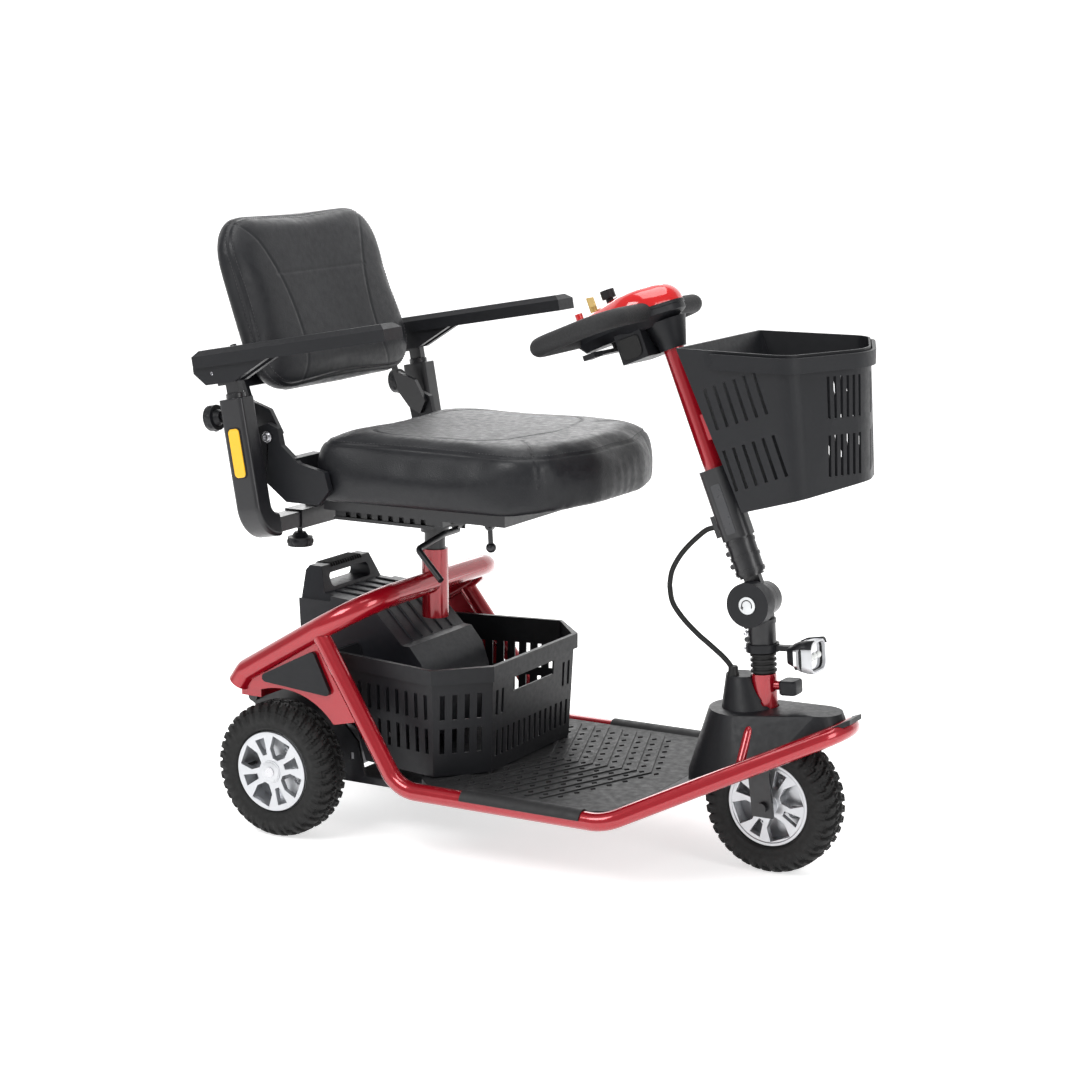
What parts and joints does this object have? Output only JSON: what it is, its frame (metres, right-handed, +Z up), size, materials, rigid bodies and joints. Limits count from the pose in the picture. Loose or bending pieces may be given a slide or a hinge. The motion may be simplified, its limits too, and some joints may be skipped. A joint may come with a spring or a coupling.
{
  "type": "mobility scooter",
  "caption": "Three-wheeled folding mobility scooter with a red tube frame, padded swivel seat, flip-up armrests, tilting tiller with loop handles, and two baskets.",
  "frame": {"origin": "on the floor under the middle of the overall length", "axes": "+X forward, +Y left, +Z up"},
  "size_m": [1.0476, 0.574, 0.9785],
  "materials": {
    "red_lacquer": "metallic gloss",
    "black_steel": "satin",
    "steel": "brushed",
    "rim_silver": "satin",
    "tyre": "matt",
    "black_plastic": "fine texture",
    "battery_plastic": "fine texture",
    "vinyl": "semi-gloss grained",
    "grip_foam": "matt",
    "rubber": "matt",
    "gloss_red": "gloss",
    "gold_metal": "satin",
    "yellow_plastic": "gloss",
    "lens": "clear"
  },
  "bodies": {
    "frame": {"seat_hoop": "red_lacquer", "deck_rail": "red_lacquer", "front_frame": "red_lacquer", "cross_tubes": "red_lacquer", "badge_plates": "black_plastic", "rear_chassis": "black_steel", "transaxle": "steel", "drive_motor": "black_steel", "floor_mat": "rubber", "front_cover": "black_plastic", "wheel_shroud": "black_plastic", "cable": "rubber"},
    "wheel_rear_left": {"rear_axle_left": "steel", "rear_rim_left": "rim_silver", "rear_tyre_left": "tyre"},
    "wheel_rear_right": {"rear_axle_right": "steel", "rear_rim_right": "rim_silver", "rear_tyre_right": "tyre"},
    "steering": {"fork": "black_steel", "bellows": "rubber", "lower_clamp": "black_steel", "headlight": "black_plastic", "lamp_lens": "lens"},
    "wheel_front": {"front_rim": "rim_silver", "front_tyre": "tyre"},
    "knuckle_knob": {"clamp_knob": "black_plastic"},
    "tiller": {"upper_clamp": "black_steel", "stem_tube": "red_lacquer", "tiller_shell": "black_plastic", "tiller_cover": "gloss_red", "grip_loops": "grip_foam"},
    "key": {"ignition_key": "gold_metal"},
    "dial": {"speed_dial": "black_plastic"},
    "button": {"horn_button": "gloss_red"},
    "paddle": {"throttle_paddle": "black_plastic"},
    "basket_front": {"front_basket": "black_plastic"},
    "basket_bail": {"basket_handle": "black_plastic"},
    "basket_floor": {"floor_basket": "black_plastic"},
    "battery": {"battery_case": "battery_plastic"},
    "release_lever": {"freewheel_lever": "yellow_plastic"},
    "post": {"seat_post": "black_steel"},
    "swivel": {"swivel_plate": "black_steel"},
    "swivel_handle": {"swivel_lever": "black_steel"},
    "seat": {"seat_pan": "black_steel", "seat_cushion": "vinyl", "hinge_brackets": "black_steel", "arm_receiver": "black_steel"},
    "slide_handle": {"slide_lever": "black_steel"},
    "backrest": {"backrest_cushion": "vinyl", "backrest_frame": "black_steel"},
    "arm_left": {"arm_upright_left": "black_steel"},
    "arm_right": {"arm_upright_right": "black_steel"},
    "arm_left_post": {"arm_post_left": "black_steel"},
    "arm_right_post": {"arm_post_right": "black_steel"},
    "arm_left_pad": {"arm_pad_left": "black_plastic"},
    "arm_right_pad": {"arm_pad_right": "black_plastic"},
    "width_screw_left": {"width_knob_left": "black_plastic"},
    "width_screw_right": {"width_knob_right": "black_plastic"},
    "height_screw_left": {"height_knob_left": "black_plastic"},
    "height_screw_right": {"height_knob_right": "black_plastic"}
  },
  "joints": [
    {"name": "rear_wheel_left_spin", "type": "hinge", "parent": "frame", "child": "wheel_rear_left", "pos_m": [-0.37225, 0.222, 0.108], "axis": [0, 1, 0], "continuous": true},
    {"name": "rear_wheel_right_spin", "type": "hinge", "parent": "frame", "child": "wheel_rear_right", "pos_m": [-0.37225, -0.222, 0.108], "axis": [0, 1, 0], "continuous": true},
    {"name": "steering", "type": "hinge", "parent": "frame", "child": "steering", "pos_m": [0.35475, 0, 0.416], "axis": [-0.0698, 0, 0.9976], "range_deg": [-40, 40], "deforming": ["cable"]},
    {"name": "front_wheel_spin", "type": "hinge", "parent": "steering", "child": "wheel_front", "pos_m": [0.38375, 0, 0.108], "axis": [0, 1, 0], "continuous": true},
    {"name": "tiller_tilt", "type": "hinge", "parent": "steering", "child": "tiller", "pos_m": [0.35475, 0, 0.416], "axis": [0, 1, 0], "range_deg": [0, 20], "deforming": ["cable"]},
    {"name": "knuckle_knob_turn", "type": "hinge", "parent": "steering", "child": "knuckle_knob", "pos_m": [0.35475, 0, 0.416], "axis": [0, 1, 0], "range_deg": [0, 180]},
    {"name": "key_turn", "type": "hinge", "parent": "tiller", "child": "key", "pos_m": [0.06731, 0, 0.83913], "axis": [-0.3746, 0, 0.9272], "range_deg": [-90, 0]},
    {"name": "speed_dial_turn", "type": "hinge", "parent": "tiller", "child": "dial", "pos_m": [0.09698, 0, 0.85112], "axis": [-0.3746, 0, 0.9272], "range_deg": [0, 270]},
    {"name": "horn_press", "type": "slide", "parent": "tiller", "child": "button", "axis": [0.3746, 0, -0.9272], "range_m": [0, 0.003], "stiffness_N_per_m": 400},
    {"name": "throttle_swing", "type": "hinge", "parent": "tiller", "child": "paddle", "pos_m": [0.10762, 0, 0.78208], "axis": [-0.3746, 0, 0.9272], "range_deg": [-12, 12], "stiffness_Nm_per_rad": 0.3},
    {"name": "front_basket_lift", "type": "slide", "parent": "tiller", "child": "basket_front", "axis": [-0.3746, 0, 0.9272], "range_m": [0, 0.06]},
    {"name": "basket_handle_raise", "type": "hinge", "parent": "basket_front", "child": "basket_bail", "pos_m": [0.33975, 0, 0.791], "axis": [0, -1, 0], "range_deg": [0, 90]},
    {"name": "floor_basket_slide", "type": "slide", "parent": "frame", "child": "basket_floor", "axis": [1, 0, 0], "range_m": [0, 0.12]},
    {"name": "battery_lift", "type": "slide", "parent": "frame", "child": "battery", "axis": [-0.7071, 0, 0.7071], "range_m": [0, 0.06]},
    {"name": "freewheel_lever_swing", "type": "hinge", "parent": "frame", "child": "release_lever", "pos_m": [-0.33225, -0.104, 0.184], "axis": [0, -1, 0], "range_deg": [0, 30]},
    {"name": "seat_height", "type": "slide", "parent": "frame", "child": "post", "axis": [0, 0, 1], "range_m": [0, 0.04]},
    {"name": "seat_swivel", "type": "hinge", "parent": "post", "child": "swivel", "pos_m": [-0.22225, 0, 0.498], "axis": [0, 0, 1], "range_deg": [-22, 22]},
    {"name": "swivel_lever_pull", "type": "hinge", "parent": "swivel", "child": "swivel_handle", "pos_m": [-0.16925, 0, 0.4854], "axis": [0, 1, 0], "range_deg": [0, 12], "stiffness_Nm_per_rad": 2},
    {"name": "seat_slide", "type": "slide", "parent": "swivel", "child": "seat", "axis": [1, 0, 0], "range_m": [-0.04, 0.02]},
    {"name": "slide_lever_pull", "type": "hinge", "parent": "seat", "child": "slide_handle", "pos_m": [-0.05425, -0.104, 0.5089], "axis": [0, 1, 0], "range_deg": [0, 15], "stiffness_Nm_per_rad": 1},
    {"name": "backrest_fold", "type": "hinge", "parent": "seat", "child": "backrest", "pos_m": [-0.38525, 0, 0.638], "axis": [0, 1, 0], "range_deg": [0, 58]},
    {"name": "armrest_left_width", "type": "slide", "parent": "seat", "child": "arm_left", "axis": [0, 1, 0], "range_m": [0, 0.04]},
    {"name": "armrest_left_height", "type": "slide", "parent": "arm_left", "child": "arm_left_post", "axis": [-0.1736, 0, 0.9848], "range_m": [0, 0.03]},
    {"name": "armrest_left_flip", "type": "hinge", "parent": "arm_left_post", "child": "arm_left_pad", "pos_m": [-0.45075, 0.262, 0.73873], "axis": [0, -1, 0], "range_deg": [0, 95]},
    {"name": "width_knob_left_turn", "type": "hinge", "parent": "seat", "child": "width_screw_left", "pos_m": [-0.38225, 0.148, 0.47], "axis": [0, 0, 1], "range_deg": [0, 180]},
    {"name": "height_knob_left_turn", "type": "hinge", "parent": "arm_left", "child": "height_screw_left", "pos_m": [-0.45157, 0.262, 0.66852], "axis": [0.9848, 0, 0.1736], "range_deg": [0, 180]},
    {"name": "armrest_right_width", "type": "slide", "parent": "seat", "child": "arm_right", "axis": [0, -1, 0], "range_m": [0, 0.04]},
    {"name": "armrest_right_height", "type": "slide", "parent": "arm_right", "child": "arm_right_post", "axis": [-0.1736, 0, 0.9848], "range_m": [0, 0.03]},
    {"name": "armrest_right_flip", "type": "hinge", "parent": "arm_right_post", "child": "arm_right_pad", "pos_m": [-0.45075, -0.262, 0.73873], "axis": [0, -1, 0], "range_deg": [0, 95]},
    {"name": "width_knob_right_turn", "type": "hinge", "parent": "seat", "child": "width_screw_right", "pos_m": [-0.38225, -0.148, 0.47], "axis": [0, 0, 1], "range_deg": [0, 180]},
    {"name": "height_knob_right_turn", "type": "hinge", "parent": "arm_right", "child": "height_screw_right", "pos_m": [-0.45157, -0.262, 0.66852], "axis": [0.9848, 0, 0.1736], "range_deg": [0, 180]}
  ]
}
